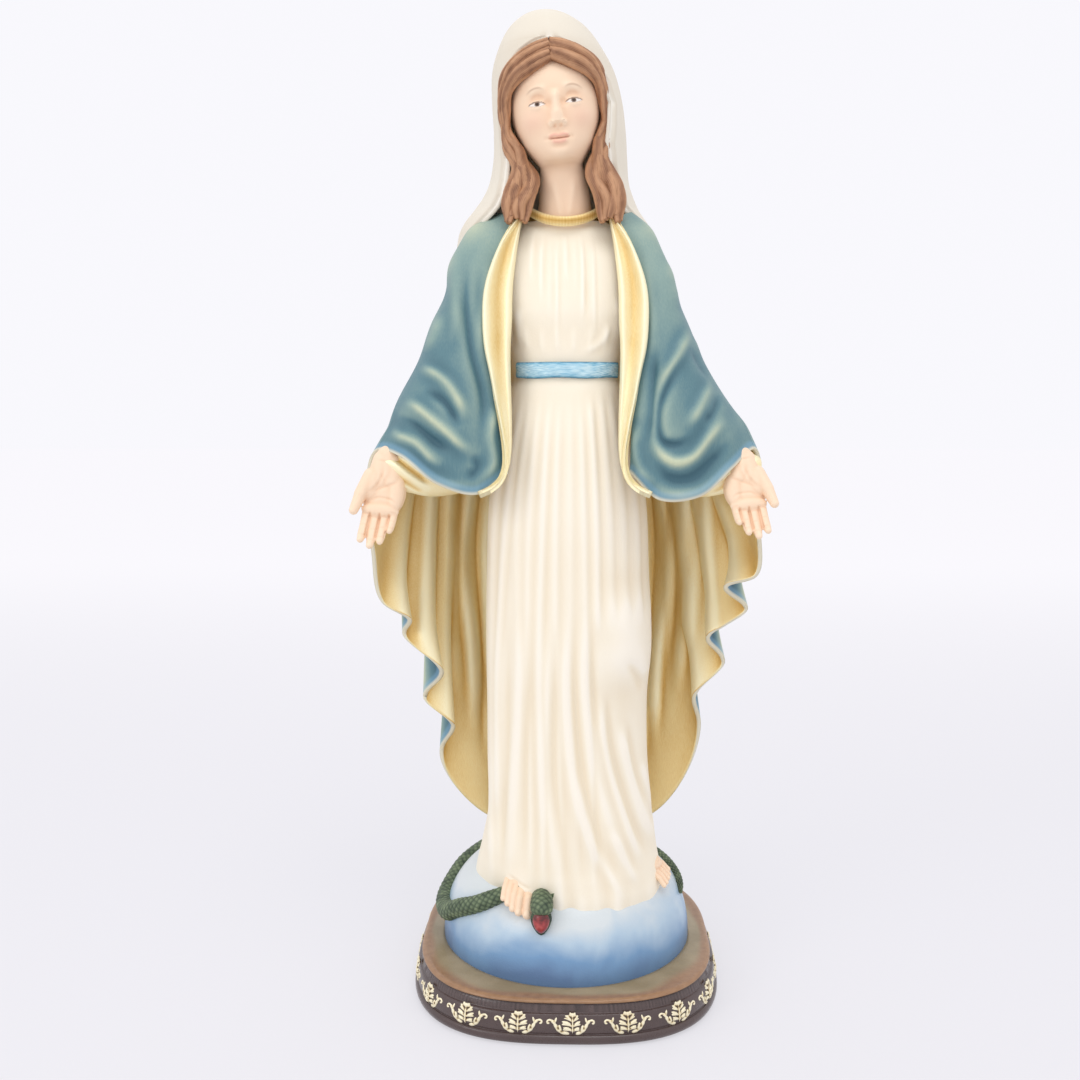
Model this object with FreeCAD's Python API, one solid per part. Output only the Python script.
"""Standing Madonna statue, cast in painted resin, 800 mm tall.

The figure stands on a low globe with a serpent under the right foot. The globe sits on a moulded plinth.
The castings are thin shells. A threaded rod clamps plinth, globe and figure together, the head drops into
the gown on a dowel, and each hand is a casting of its own on a steel pin.

Frame: +Z up, the figure faces -Y, origin on the floor under the middle of the plinth. Millimetres.
The figure's own right side is at -X.
"""

import FreeCAD
import Part
import math
import os
from FreeCAD import Vector

# ---------------------------------------------------------------- driving dimensions
FELT_THICK = 2.0
PLINTH_HALF = 128.0          # half the plinth's side at its widest moulding
PLINTH_TOP = 34.0
PLINTH_WALL = 6.0
PLAN_POWER = 2.8             # superellipse power of the plinth's rounded square plan
BOARD_THICK = 9.0
RECESS_DEPTH = 2.0           # the globe stands this deep in the plinth's top

GLOBE_RADIUS = 105.0
GLOBE_TOP = 112.0
GLOBE_POWER = 2.5
GLOBE_WALL = 6.0

GOWN_WALL = 5.0
MANTLE_THICK = 4.5
VEIL_THICK = 3.5
GAP = 0.3                    # glue gap between castings
HAIR_GAP = 0.45              # between hair and veil

ROD_RADIUS = 4.0
ROD_TOP = 250.0
NUT_ACROSS_FLATS = 13.0
NUT_HEIGHT = 6.5
WASHER_RADIUS = 12.0
WASHER_THICK = 1.6
SCREW_PLACE = 88.0           # board screws, along the plan's diagonals
PIN_RADIUS = 2.5
DOWEL_RADIUS = 5.0

# gown cross-sections: height, middle in y, half width, half depth
GOWN_POWER = 2.2
GOWN_SECTIONS = [
    (78, -16, 79, 68), (104, -16, 77, 66), (150, -14, 70, 60), (220, -15, 67, 58), (300, -18, 67, 55),
    (405, -20, 64, 49), (460, -18, 54, 43), (509, -16, 47, 34), (560, -10, 60, 41), (596, -3, 68, 36),
    (614, 0, 58, 29), (628, 1, 38, 23),
]

# the mantle's level curves for its right half: points from the front edge round to the middle of the back
NECK_LEVEL = [
    (-40, -30, 628), (-46, -25, 632), (-51, -17, 635), (-54, -8, 637), (-55, 1, 638), (-53, 10, 638),
    (-48, 18, 638), (-39, 25, 638), (-27, 29, 638), (-14, 31, 638), (0, 32, 638),
]
SHOULDER_LEVEL = [
    (-60, -42, 596), (-74, -38, 600), (-85, -29, 603), (-92, -16, 604), (-94, -2, 604), (-92, 12, 602),
    (-85, 27, 600), (-72, 40, 598), (-52, 49, 597), (-27, 54, 596), (0, 56, 596),
]
ELBOW_LEVEL = [
    (-66, -54, 540), (-84, -60, 535), (-103, -56, 528), (-118, -42, 522), (-126, -22, 518), (-124, 0, 515),
    (-114, 22, 510), (-96, 42, 505), (-70, 56, 500), (-37, 64, 498), (0, 67, 497),
]
WRIST_LEVEL = [
    (-50, -67, 462), (-73, -80, 458), (-101, -80, 462), (-128, -65, 470), (-146, -40, 476), (-149, -12, 440),
    (-138, 14, 405), (-113, 38, 395), (-80, 56, 390), (-42, 68, 385), (0, 72, 383),
]
WING_LEVEL = [
    (-48, -70, 443), (-71, -83, 436), (-100, -83, 438), (-129, -69, 451), (-150, -45, 467), (-157, -21, 404),
    (-148, 2, 354), (-119, 27, 310), (-84, 49, 262), (-44, 66, 238), (0, 72, 234),
]
HEM_LEVEL = [
    (-47, -72, 426), (-70, -84, 415), (-99, -84, 416), (-129, -72, 432), (-153, -48, 458), (-160, -27, 372),
    (-150, -10, 312), (-119, 16, 232), (-84, 38, 151), (-44, 60, 112), (0, 68, 105),
]
WRIST_STATION = 4            # the level points up to here are the sleeve, the rest hang behind the arm

# veil cross-sections: height, middle in x and y, half width, half depth
VEIL_SECTIONS = [
    (799.7, -14, 2, 8, 10), (794, -14, 2, 22, 26), (776, -12, 2, 36, 42), (748, -10, 2, 46, 51),
    (712, -6, 3, 52, 55), (686, -4, 5, 53, 54), (655, -4, 10, 58, 55), (634, -3, 13, 76, 56),
    (616, -3, 14, 94, 60), (600, -3, 14, 104, 64),
]
VEIL_HEM = 606.0

# the head leans towards the figure's right
HEAD_MIDDLE = Vector(-9, -10, 712)
HEAD_LEAN = -6.0
FACE_HALF = (34, 42, 46)
NECK_RADIUS = 17.0
NECK_FOOT = 606.0

HAND_WRIST = Vector(-146, -56, 446)
HAND_SWING = 5.0             # fingers turn outwards
HAND_LIFT = 17.0             # fingers reach forwards
PALM_HALF = (15.5, 7.5, 18.0)
PALM_DROP = 25.0
FINGER_RADIUS = 3.9
FINGERS = [(-11.2, 22), (-3.8, 27), (3.8, 26), (11.0, 20)]   # place across the palm and length

# heel, toes and half width of each foot
RIGHT_FOOT = (Vector(-37, -48, 103), Vector(-40, -78, 97), 9.0)
LEFT_FOOT = (Vector(62, -40, 102), Vector(79, -48, 96), 7.5)

SERPENT_RADIUS = 7.0
SERPENT_ROUTE = [            # bearing from the front, towards -X, in degrees; distance; share of the full radius
    (-100, 101, 0.25), (-118, 97, 0.45), (-140, 93, 0.62), (-165, 90, 0.78), (-195, 90, 0.9), (-220, 92, 1.0),
    (-245, 96, 1.0), (-268, 103, 1.0), (-288, 106, 1.0), (-304, 104, 1.0), (-320, 93, 1.0), (-334, 84, 1.0),
    (-350, 84, 0.95), (-365, 90, 0.9),
]


# ---------------------------------------------------------------- small helpers
def superellipse(middle_x, middle_y, half_x, half_y, z, power, count=24):
    """A closed smooth wire through points of a superellipse."""
    points = []
    for i in range(count):
        angle = 2 * math.pi * i / count
        c, s = math.cos(angle), math.sin(angle)
        x = middle_x + half_x * math.copysign(abs(c) ** (2 / power), c)
        y = middle_y + half_y * math.copysign(abs(s) ** (2 / power), s)
        points.append(Vector(x, y, z))
    curve = Part.BSplineCurve()
    curve.interpolate(points, PeriodicFlag=True)
    return Part.Wire(curve.toShape())


def spline(points):
    """An open smooth edge through points."""
    curve = Part.BSplineCurve()
    curve.interpolate(points)
    return curve.toShape()


def loft(wires, ruled=False):
    return Part.makeLoft(wires, True, ruled)


def cylinder(radius, bottom, top, x=0.0, y=0.0):
    return Part.makeCylinder(radius, top - bottom, Vector(x, y, bottom))


def ellipsoid(middle, half):
    """An ellipsoid as a scaled unit ball."""
    matrix = FreeCAD.Matrix()
    matrix.scale(*half)
    matrix.move(middle)
    return Part.makeSphere(1.0).transformGeometry(matrix)


def rod_between(start, end, start_radius, end_radius):
    """A round rod, tapered unless its two radii are the same."""
    along = end - start
    if abs(start_radius - end_radius) < 0.01:
        return Part.makeCylinder(start_radius, along.Length, start, along)
    return Part.makeCone(start_radius, end_radius, along.Length, start, along)


def largest(shape):
    """The main solid, where a cut has left slivers beside it."""
    return max(shape.Solids, key=lambda solid: solid.Volume)


def mirrored(shape):
    """The same piece for the figure's left side."""
    return shape.mirror(Vector(0, 0, 0), Vector(1, 0, 0))


def save(node, *shapes):
    """Writes one sub-part, and says how many solids it has and how large they are."""
    solids = [solid for shape in shapes for solid in shape.Solids]
    shape = solids[0] if len(solids) == 1 else Part.makeCompound(solids)
    shape.exportStep(f"parts/{node}.step")
    volume = sum(solid.Volume for solid in solids) / 1000
    print(f"{node}: {len(solids)} solid(s), {volume:.1f} cm3, valid {shape.isValid()}")


# ---------------------------------------------------------------- plinth
def plan(inset, z):
    half = PLINTH_HALF - inset
    return superellipse(0, 0, half, half, z, PLAN_POWER, 32)


def plinth_body():
    """The outer moulding from the floor up, as (inset, height) pairs of smooth bands."""
    foot_ring = [(3.0, 2.0), (0.4, 4.0), (0.0, 6.5), (1.6, 9.0)]
    leaf_band = [(2.2, 9.0), (1.8, 13.0), (2.2, 18.0), (3.6, 24.0)]
    ribbed_band = [(5.6, 24.0), (6.4, 27.0), (8.4, 30.6)]
    top_rim = [(7.0, 30.6), (6.2, 32.0), (7.4, 33.4), (9.0, PLINTH_TOP)]
    body = None
    for band in (foot_ring, leaf_band, ribbed_band, top_rim):
        for (low_inset, low), (high_inset, high) in zip(band, band[1:]):
            slice_ = loft([plan(low_inset, low), plan(high_inset, high)], ruled=True)
            body = slice_ if body is None else body.fuse(slice_)
    return body


def plinth():
    """A casting open underneath, with a recess for the globe and a hole for the rod."""
    body = plinth_body()
    board_room = loft([plan(PLINTH_WALL, FELT_THICK - 1), plan(PLINTH_WALL, FELT_THICK + BOARD_THICK)])
    roof = PLINTH_TOP - PLINTH_WALL - RECESS_DEPTH
    inside = loft([plan(PLINTH_WALL + 10, FELT_THICK), plan(PLINTH_WALL + 12, roof)])
    body = body.cut(board_room).cut(inside)
    for x, y in corner_places():
        post = cylinder(8.0, FELT_THICK + BOARD_THICK, roof + 1, x, y)
        body = body.fuse(post.cut(cylinder(1.6, FELT_THICK + BOARD_THICK, roof - 1, x, y)))
    body = body.cut(cylinder(GLOBE_RADIUS + GAP, PLINTH_TOP - RECESS_DEPTH, PLINTH_TOP + 1))
    return body.cut(cylinder(ROD_RADIUS + 0.5, 0, PLINTH_TOP))


def corner_places():
    """The four screw places, on the plan's diagonals."""
    reach = SCREW_PLACE * math.sqrt(0.5) * 1.15
    return [(sx * reach, sy * reach) for sx in (-1, 1) for sy in (-1, 1)]


def closing_board():
    """Plywood board that closes the plinth, counterbored for the screws and for the rod's nut."""
    board = loft([plan(PLINTH_WALL + GAP, FELT_THICK), plan(PLINTH_WALL + GAP, FELT_THICK + BOARD_THICK)])
    for x, y in corner_places():
        board = board.cut(cylinder(2.2, 0, 20, x, y)).cut(cylinder(4.6, 0, FELT_THICK + 3.0, x, y))
    return board.cut(cylinder(WASHER_RADIUS + 3, 0, 20))


def felt_pad():
    return loft([plan(PLINTH_WALL + 2, 0), plan(PLINTH_WALL + 2, FELT_THICK)])


def board_screws():
    """Countersunk wood screws: a flat head on a straight shank with a point."""
    screws = []
    for x, y in corner_places():
        low = FELT_THICK + 0.2
        profile = [(0, 0), (4.2, 0), (4.2, 1.0), (1.9, 2.8), (1.5, 4.0), (1.5, 19.0), (0, 22.0)]
        corners = [Vector(x + r, y, low + h) for r, h in profile]
        face = Part.Face(Part.makePolygon(corners + corners[:1]))
        screws.append(face.revolve(Vector(x, y, 0), Vector(0, 0, 1), 360))
    return screws


# ---------------------------------------------------------------- globe and serpent
def globe_height(radius, shrink=0.0):
    """Height of the globe's surface at a distance from its axis."""
    share = min(1.0, radius / (GLOBE_RADIUS - shrink))
    rise = GLOBE_TOP - shrink - (PLINTH_TOP - RECESS_DEPTH)
    return PLINTH_TOP - RECESS_DEPTH + rise * (1 - share ** GLOBE_POWER) ** (1 / GLOBE_POWER)


def dome(shrink):
    """The globe as a solid of revolution: straight at its foot, rounded over to its top."""
    foot = PLINTH_TOP - RECESS_DEPTH
    points = []
    for i in range(13):
        angle = math.pi / 2 * i / 12
        radius = (GLOBE_RADIUS - shrink) * math.cos(angle) ** (2 / GLOBE_POWER)
        points.append(Vector(radius, 0, globe_height(radius, shrink)))
    points[0] = Vector(GLOBE_RADIUS - shrink, 0, foot)
    points[-1] = Vector(0, 0, GLOBE_TOP - shrink)
    edges = [spline(points), Part.makeLine(points[-1], Vector(0, 0, foot))]
    edges.append(Part.makeLine(Vector(0, 0, foot), points[0]))
    return Part.Face(Part.Wire(edges)).revolve(Vector(0, 0, 0), Vector(0, 0, 1), 360)


def globe():
    """A shell with a boss round the rod."""
    boss = cylinder(14, PLINTH_TOP - RECESS_DEPTH, GLOBE_TOP - GLOBE_WALL + 1)
    shell = dome(0).cut(dome(GLOBE_WALL)).fuse(boss)
    return shell.cut(cylinder(ROD_RADIUS + 0.5, 0, GLOBE_TOP + 5))


def serpent_point(bearing, distance):
    """A point of the serpent's middle line, resting on the globe."""
    angle = math.radians(bearing)
    sunk = 0.55 * SERPENT_RADIUS
    height = globe_height(min(distance, GLOBE_RADIUS - 2)) + sunk
    return Vector(-distance * math.sin(angle), -distance * math.cos(angle), height)


def serpent_body(grown=0.0):
    """The serpent's tapered body along its route."""
    middles = [serpent_point(bearing, distance) for bearing, distance, _ in SERPENT_ROUTE]
    line = Part.BSplineCurve()
    line.interpolate(middles)
    rings = []
    for middle, (_, _, share) in zip(middles, SERPENT_ROUTE):
        ahead = Vector(*line.tangent(line.parameter(middle))[0])
        rings.append(Part.Wire(Part.makeCircle(SERPENT_RADIUS * share + grown, middle, ahead)))
    return loft(rings)


def serpent():
    """Tail on the figure's left, round the back, under the right foot, head beside it."""
    head = ellipsoid(Vector(-18, -91, 95), (9.5, 10.5, 6.5))
    jaw = ellipsoid(Vector(-18, -97, 86), (8, 7, 4))
    return largest(serpent_body().fuse(head).fuse(jaw).cut(dome(-GAP)).cut(apple_ball(GAP)))


def apple_ball(grown=0.0):
    return ellipsoid(Vector(-18, -102, 89), (7 + grown, 6 + grown, 7 + grown))


def apple():
    return apple_ball().cut(dome(-GAP))


# ---------------------------------------------------------------- gown
def gown_body(grow=0.0):
    wires = [
        superellipse(0, y, half_x + grow, half_y + grow, z, GOWN_POWER)
        for z, y, half_x, half_y in GOWN_SECTIONS
    ]
    return loft(wires)


def gown():
    """The front casting: a hollow gown that stands on the globe, with sockets for neck and feet."""
    shell = gown_body().cut(gown_body(-GOWN_WALL)).cut(dome(-GAP))
    top = GOWN_SECTIONS[-1][0]
    crown = loft([superellipse(0, 1, 37, 22, top - 8, GOWN_POWER), superellipse(0, 1, 37, 22, top, GOWN_POWER)])
    collar = crown.fuse(shell).cut(neck_body(GAP))
    for neighbour in (foot_body(*RIGHT_FOOT, GAP), foot_body(*LEFT_FOOT, GAP), serpent_body(GAP)):
        collar = collar.cut(neighbour)
    return largest(collar)


def torso_block():
    """Turned wood block inside the gown that the rod screws into."""
    block = cylinder(34, 205, 262, 0, -15)
    return block.cut(cylinder(ROD_RADIUS, 200, ROD_TOP + 3))


def band(low, high, grow, front_only):
    """A strip laid round the gown between two heights."""
    strip = gown_body(grow).cut(gown_body(GAP))
    keep = Part.makeBox(2 * front_only, 80, high - low, Vector(-front_only, -90, low))
    return strip.common(keep)


def sash():
    return band(502.5, 515.0, 2.6, 37.5)


def neckband():
    """Braid round the neck opening."""
    ring = []
    for grow, z in ((0, 625), (2.2, 627.5), (1.6, 633), (-1.5, 634.5)):
        ring.append(superellipse(0, -2, 34 + grow, 26 + grow, z, 2.0))
    inner = []
    for grow, z in ((-3.5, 624), (-4.5, 636)):
        inner.append(superellipse(0, -2, 34 + grow, 26 + grow, z, 2.0))
    return loft(ring).cut(loft(inner)).cut(gown_body(GAP))


# ---------------------------------------------------------------- feet
def foot_body(heel, toes, half_width, grown=0.0):
    """A bare foot: a tapered sole with five toes, cut to the globe that it stands on."""
    along = toes - heel
    across = along.cross(Vector(0, 0, 1)).normalize()
    body = rod_between(heel, toes, half_width * 0.8 + grown, half_width * 0.9 + grown)
    for i in range(5):
        side = (i - 2) * half_width * 0.42
        tip = toes + across * side + along.normalize() * (7 - abs(i - 1.4) * 0.9)
        body = body.fuse(Part.makeSphere(3.0 + grown, tip))
    return largest(body.cut(dome(-GAP)))


def foot(place):
    """A foot cut to the serpent that it treads on."""
    return largest(foot_body(*place).cut(serpent_body(GAP)))


# ---------------------------------------------------------------- mantle
LEVELS = [NECK_LEVEL, SHOULDER_LEVEL, ELBOW_LEVEL, WRIST_LEVEL, WING_LEVEL, HEM_LEVEL]


def rib(station):
    """One line of the cloth, from the neck down to the hem."""
    return [Vector(*level[station]) for level in LEVELS]


def cloth_normal(grid, i, j):
    """Outward direction of the cloth at rib i, level j."""
    left, right = grid[max(i - 1, 0)][j], grid[min(i + 1, len(grid) - 1)][j]
    above, below = grid[i][max(j - 1, 0)], grid[i][min(j + 1, len(grid[i]) - 1)]
    return (below - above).cross(right - left).normalize()


def cloth_sheet(ribs, thickness):
    """A closed sheet of cloth of that thickness: two surfaces through the ribs, joined along their four edges."""
    under = []
    for i, line in enumerate(ribs):
        under.append([point - cloth_normal(ribs, i, j) * thickness for j, point in enumerate(line)])
    faces = []
    for grid in (ribs, under):
        surface = Part.BSplineSurface()
        surface.interpolate(grid)
        faces.append(surface.toShape())
    faces += [Part.makeRuledSurface(a, b) for a, b in zip(faces[0].Edges, faces[1].Edges)]
    skin = Part.makeCompound(faces)
    skin.sewShape()
    solid = Part.makeSolid(skin.Shells[0])
    return solid if solid.Volume > 0 else solid.reversed()


def mantle_back():
    """The mantle behind the arms, from wrist to wrist round the back."""
    right = [rib(i) for i in range(WRIST_STATION, len(NECK_LEVEL))]
    left = [[Vector(-p.x, p.y, p.z) for p in line] for line in right[-2::-1]]
    return cloth_sheet(right + left, MANTLE_THICK)


def sleeve_cloth():
    """The front of the mantle that falls over the right arm."""
    return cloth_sheet([rib(i) for i in range(WRIST_STATION + 1)], MANTLE_THICK)


def sleeve():
    """The sleeve, notched where the hand passes its edge."""
    return largest(sleeve_cloth().cut(hand()))


def lapel():
    """The turned-back front edge, which shows the gold lining."""
    stations = [
        ((-41, -31, 626), 1.5), ((-55, -41, 602), 7.5), ((-59, -47, 571), 9.5), ((-58, -51, 535), 9.0),
        ((-52, -57, 500), 7.0), ((-46, -64, 465), 4.5), ((-45, -70, 430), 1.5),
    ]
    wires = []
    for (x, y, z), half in stations:
        wires.append(superellipse(x + half * 0.6, y - 1.0, half, 2.2, z, 2.0, 12))
    return largest(loft(wires).cut(sleeve_cloth()))


def inner_sleeve():
    """The lined sleeve round the forearm, closed at the wrist where the hand is pinned."""
    start, end = Vector(-96, -30, 500), HAND_WRIST + Vector(2, 4, 6)
    along = end - start
    wires = []
    for share, radius in ((0, 14), (0.5, 13), (0.8, 12.5), (1.0, 13.5)):
        wires.append(Part.Wire(Part.makeCircle(radius, start + along * share, along)))
    socket = rod_between(end - along.normalize() * 14, end, PIN_RADIUS, PIN_RADIUS)
    return largest(loft(wires).cut(socket).cut(sleeve_cloth()).cut(mantle_back()))


# ---------------------------------------------------------------- hands
def hand():
    """The right hand held open, palm to the front, with its fingers together."""
    palm = ellipsoid(Vector(0, 0, -PALM_DROP), PALM_HALF)
    wrist = rod_between(Vector(0, 0, 0), Vector(0, 0, -20), 9.5, 10.5)
    shape = palm.fuse(wrist)
    for place, length in FINGERS:
        knuckle = Vector(place, 0, -PALM_DROP - 12)
        tip = Vector(place * 0.94, -3.5, -PALM_DROP - 12 - length)
        shape = shape.fuse(rod_between(knuckle, tip, FINGER_RADIUS, FINGER_RADIUS * 0.8))
        shape = shape.fuse(Part.makeSphere(FINGER_RADIUS * 0.8, tip))
    thumb_root, thumb_tip = Vector(-10, -3, -16), Vector(-18.5, -9, -38)
    shape = shape.fuse(rod_between(thumb_root, thumb_tip, 5.2, 3.7)).fuse(Part.makeSphere(3.7, thumb_tip))
    hole = rod_between(Vector(0, 0, 4), Vector(0, 0, -16), PIN_RADIUS, PIN_RADIUS)
    return place_hand(shape.cut(hole))


def place_hand(shape):
    shape = shape.copy()
    shape.rotate(Vector(0, 0, 0), Vector(1, 0, 0), -HAND_LIFT)
    shape.rotate(Vector(0, 0, 0), Vector(0, 1, 0), HAND_SWING)
    shape.translate(HAND_WRIST)
    return shape


def hand_pin():
    """Steel pin between the inner sleeve and the hand."""
    end = HAND_WRIST + Vector(2, 4, 6)
    along = (end - Vector(-96, -30, 500)).normalize()
    return rod_between(end - along * 13, end - along * 0.5, PIN_RADIUS - 0.1, PIN_RADIUS - 0.1)


# ---------------------------------------------------------------- head, hair and veil
def lean(shape, pivot):
    shape = shape.copy()
    shape.rotate(pivot, Vector(0, 1, 0), HEAD_LEAN)
    return shape


def head():
    """Head and neck in one casting, bored from below for the dowel."""
    skull = ellipsoid(HEAD_MIDDLE, FACE_HALF)
    jaw = ellipsoid(HEAD_MIDDLE + Vector(0, -12, -20), (24, 26, 26))
    nose = ellipsoid(HEAD_MIDDLE + Vector(0, -41, -8), (4, 6, 10))
    face = lean(skull.fuse(jaw).fuse(nose), HEAD_MIDDLE + Vector(0, 0, -45))
    dowel_hole = cylinder(DOWEL_RADIUS, NECK_FOOT - 5, NECK_FOOT + 32, HEAD_MIDDLE.x * 0.3, 0)
    return face.fuse(neck_body()).cut(dowel_hole)


def neck_body(grown=0.0):
    foot_point = Vector(HEAD_MIDDLE.x * 0.3, 0, NECK_FOOT)
    return rod_between(foot_point, HEAD_MIDDLE + Vector(4, 4, -30), NECK_RADIUS + grown, NECK_RADIUS + grown)


def neck_dowel():
    """Wood dowel from the shoulder plug up into the neck."""
    return cylinder(DOWEL_RADIUS - 0.1, 575, NECK_FOOT + 30, HEAD_MIDDLE.x * 0.3, 0)


def shoulder_plug():
    """Block inside the shoulders that holds the dowel."""
    block = loft([superellipse(0, -2, 40, 22, 560, 2.2), superellipse(0, -1, 44, 22, 600, 2.2)])
    return block.cut(cylinder(DOWEL_RADIUS, 573, 610, HEAD_MIDDLE.x * 0.3, 0))


def hair_lock(side):
    """One side's hair, parted in the middle and falling in waves to the shoulder."""
    route = [
        (3, -38, 757, 5, 7), (18, -38, 750, 8, 8), (33, -31, 735, 9, 9), (41, -22, 715, 8, 10),
        (42, -20, 692, 8, 10), (36, -21, 672, 9, 10), (33, -22, 656, 10, 9), (37, -24, 645, 10, 8), (38, -27, 636, 6, 5),
    ]
    wires = []
    for x, y, z, half_x, half_y in route:
        middle_x = HEAD_MIDDLE.x * (z - 600) / 112 + side * x
        wires.append(superellipse(middle_x, y, half_x, half_y, z, 2.0, 12))
    own_side = Part.makeBox(100, 100, 170, Vector(GAP if side > 0 else -GAP - 100, -100, 610))
    own_side.rotate(Vector(0, 0, 610), Vector(0, 1, 0), HEAD_LEAN)
    lock = loft(wires[::-1]).common(own_side)
    return largest(lock.cut(head()).cut(veil_shell(HAIR_GAP)))


def veil_body(grow=0.0):
    wires = [
        superellipse(x, y, half_x + grow, half_y + grow, z if z < 799 else z + grow, 2.1)
        for z, x, y, half_x, half_y in VEIL_SECTIONS
    ]
    return loft(wires)


def face_opening():
    """The arched gap that the veil leaves in front of the face and throat."""
    outline = [(-112, 596), (-66, 626), (-55, 655), (-53, 690), (-50, 720), (-36, 752), (-14, 768)]
    outline += [(12, 750), (32, 724), (42, 690), (46, 655), (56, 626), (106, 596)]
    points = [Vector(x, -95, z) for x, z in outline]
    edges = [spline(points), Part.makeLine(points[-1], points[0])]
    return Part.Face(Part.Wire(edges)).extrude(Vector(0, 100, 0))


def veil_shell(grown=0.0):
    shell = veil_body(grown).cut(veil_body(-VEIL_THICK - grown)).cut(face_opening())
    floor = Part.makeBox(300, 200, 60, Vector(-150, -100, VEIL_HEM - 60))
    return shell.cut(floor)


def veil():
    """The veil over the head, open in front, spread over the shoulders and the mantle."""
    shell = veil_shell()
    for cloth in (sleeve_cloth(), mirrored(sleeve_cloth()), mantle_back()):
        shell = shell.cut(cloth)
    return largest(shell)


# ---------------------------------------------------------------- rod and its fittings
def nut_at(bottom):
    """Hexagon nut on the rod."""
    across_corners = NUT_ACROSS_FLATS / math.cos(math.pi / 6)
    corners = []
    for i in range(7):
        angle = math.pi / 3 * i
        x, y = across_corners / 2 * math.cos(angle), across_corners / 2 * math.sin(angle)
        corners.append(Vector(x, y, bottom))
    prism = Part.Face(Part.makePolygon(corners)).extrude(Vector(0, 0, NUT_HEIGHT))
    return prism.cut(cylinder(ROD_RADIUS, bottom - 1, bottom + NUT_HEIGHT + 1))


def washer_at(bottom):
    ring = cylinder(WASHER_RADIUS, bottom, bottom + WASHER_THICK)
    return ring.cut(cylinder(ROD_RADIUS + 0.4, bottom - 1, bottom + WASHER_THICK + 1))


os.makedirs("parts", exist_ok=True)

plinth_roof = PLINTH_TOP - PLINTH_WALL - RECESS_DEPTH
save("felt_pad", felt_pad())
save("closing_board", closing_board())
save("board_screws", *board_screws())
save("plinth", plinth())
save("globe", globe())
save("serpent", serpent())
save("apple", apple())
save("gown", gown())
save("torso_block", torso_block())
save("sash", sash())
save("neckband", neckband())
save("right_foot", foot(RIGHT_FOOT))
save("left_foot", foot(LEFT_FOOT))
save("mantle_back", mantle_back())
save("right_sleeve", sleeve())
save("left_sleeve", mirrored(sleeve()))
save("right_lapel", lapel())
save("left_lapel", mirrored(lapel()))
save("right_inner_sleeve", inner_sleeve())
save("left_inner_sleeve", mirrored(inner_sleeve()))
save("right_hand", hand())
save("left_hand", mirrored(hand()))
save("hand_pins", hand_pin(), mirrored(hand_pin()))
save("head", head())
save("neck_dowel", neck_dowel())
save("shoulder_plug", shoulder_plug())
save("right_hair", hair_lock(-1))
save("left_hair", hair_lock(1))
save("veil", veil())
save("threaded_rod", cylinder(ROD_RADIUS, plinth_roof - 16, ROD_TOP))
save("rod_nuts", nut_at(plinth_roof - WASHER_THICK - NUT_HEIGHT), nut_at(205 - NUT_HEIGHT))
save("rod_washers", washer_at(plinth_roof - WASHER_THICK), washer_at(GLOBE_TOP))
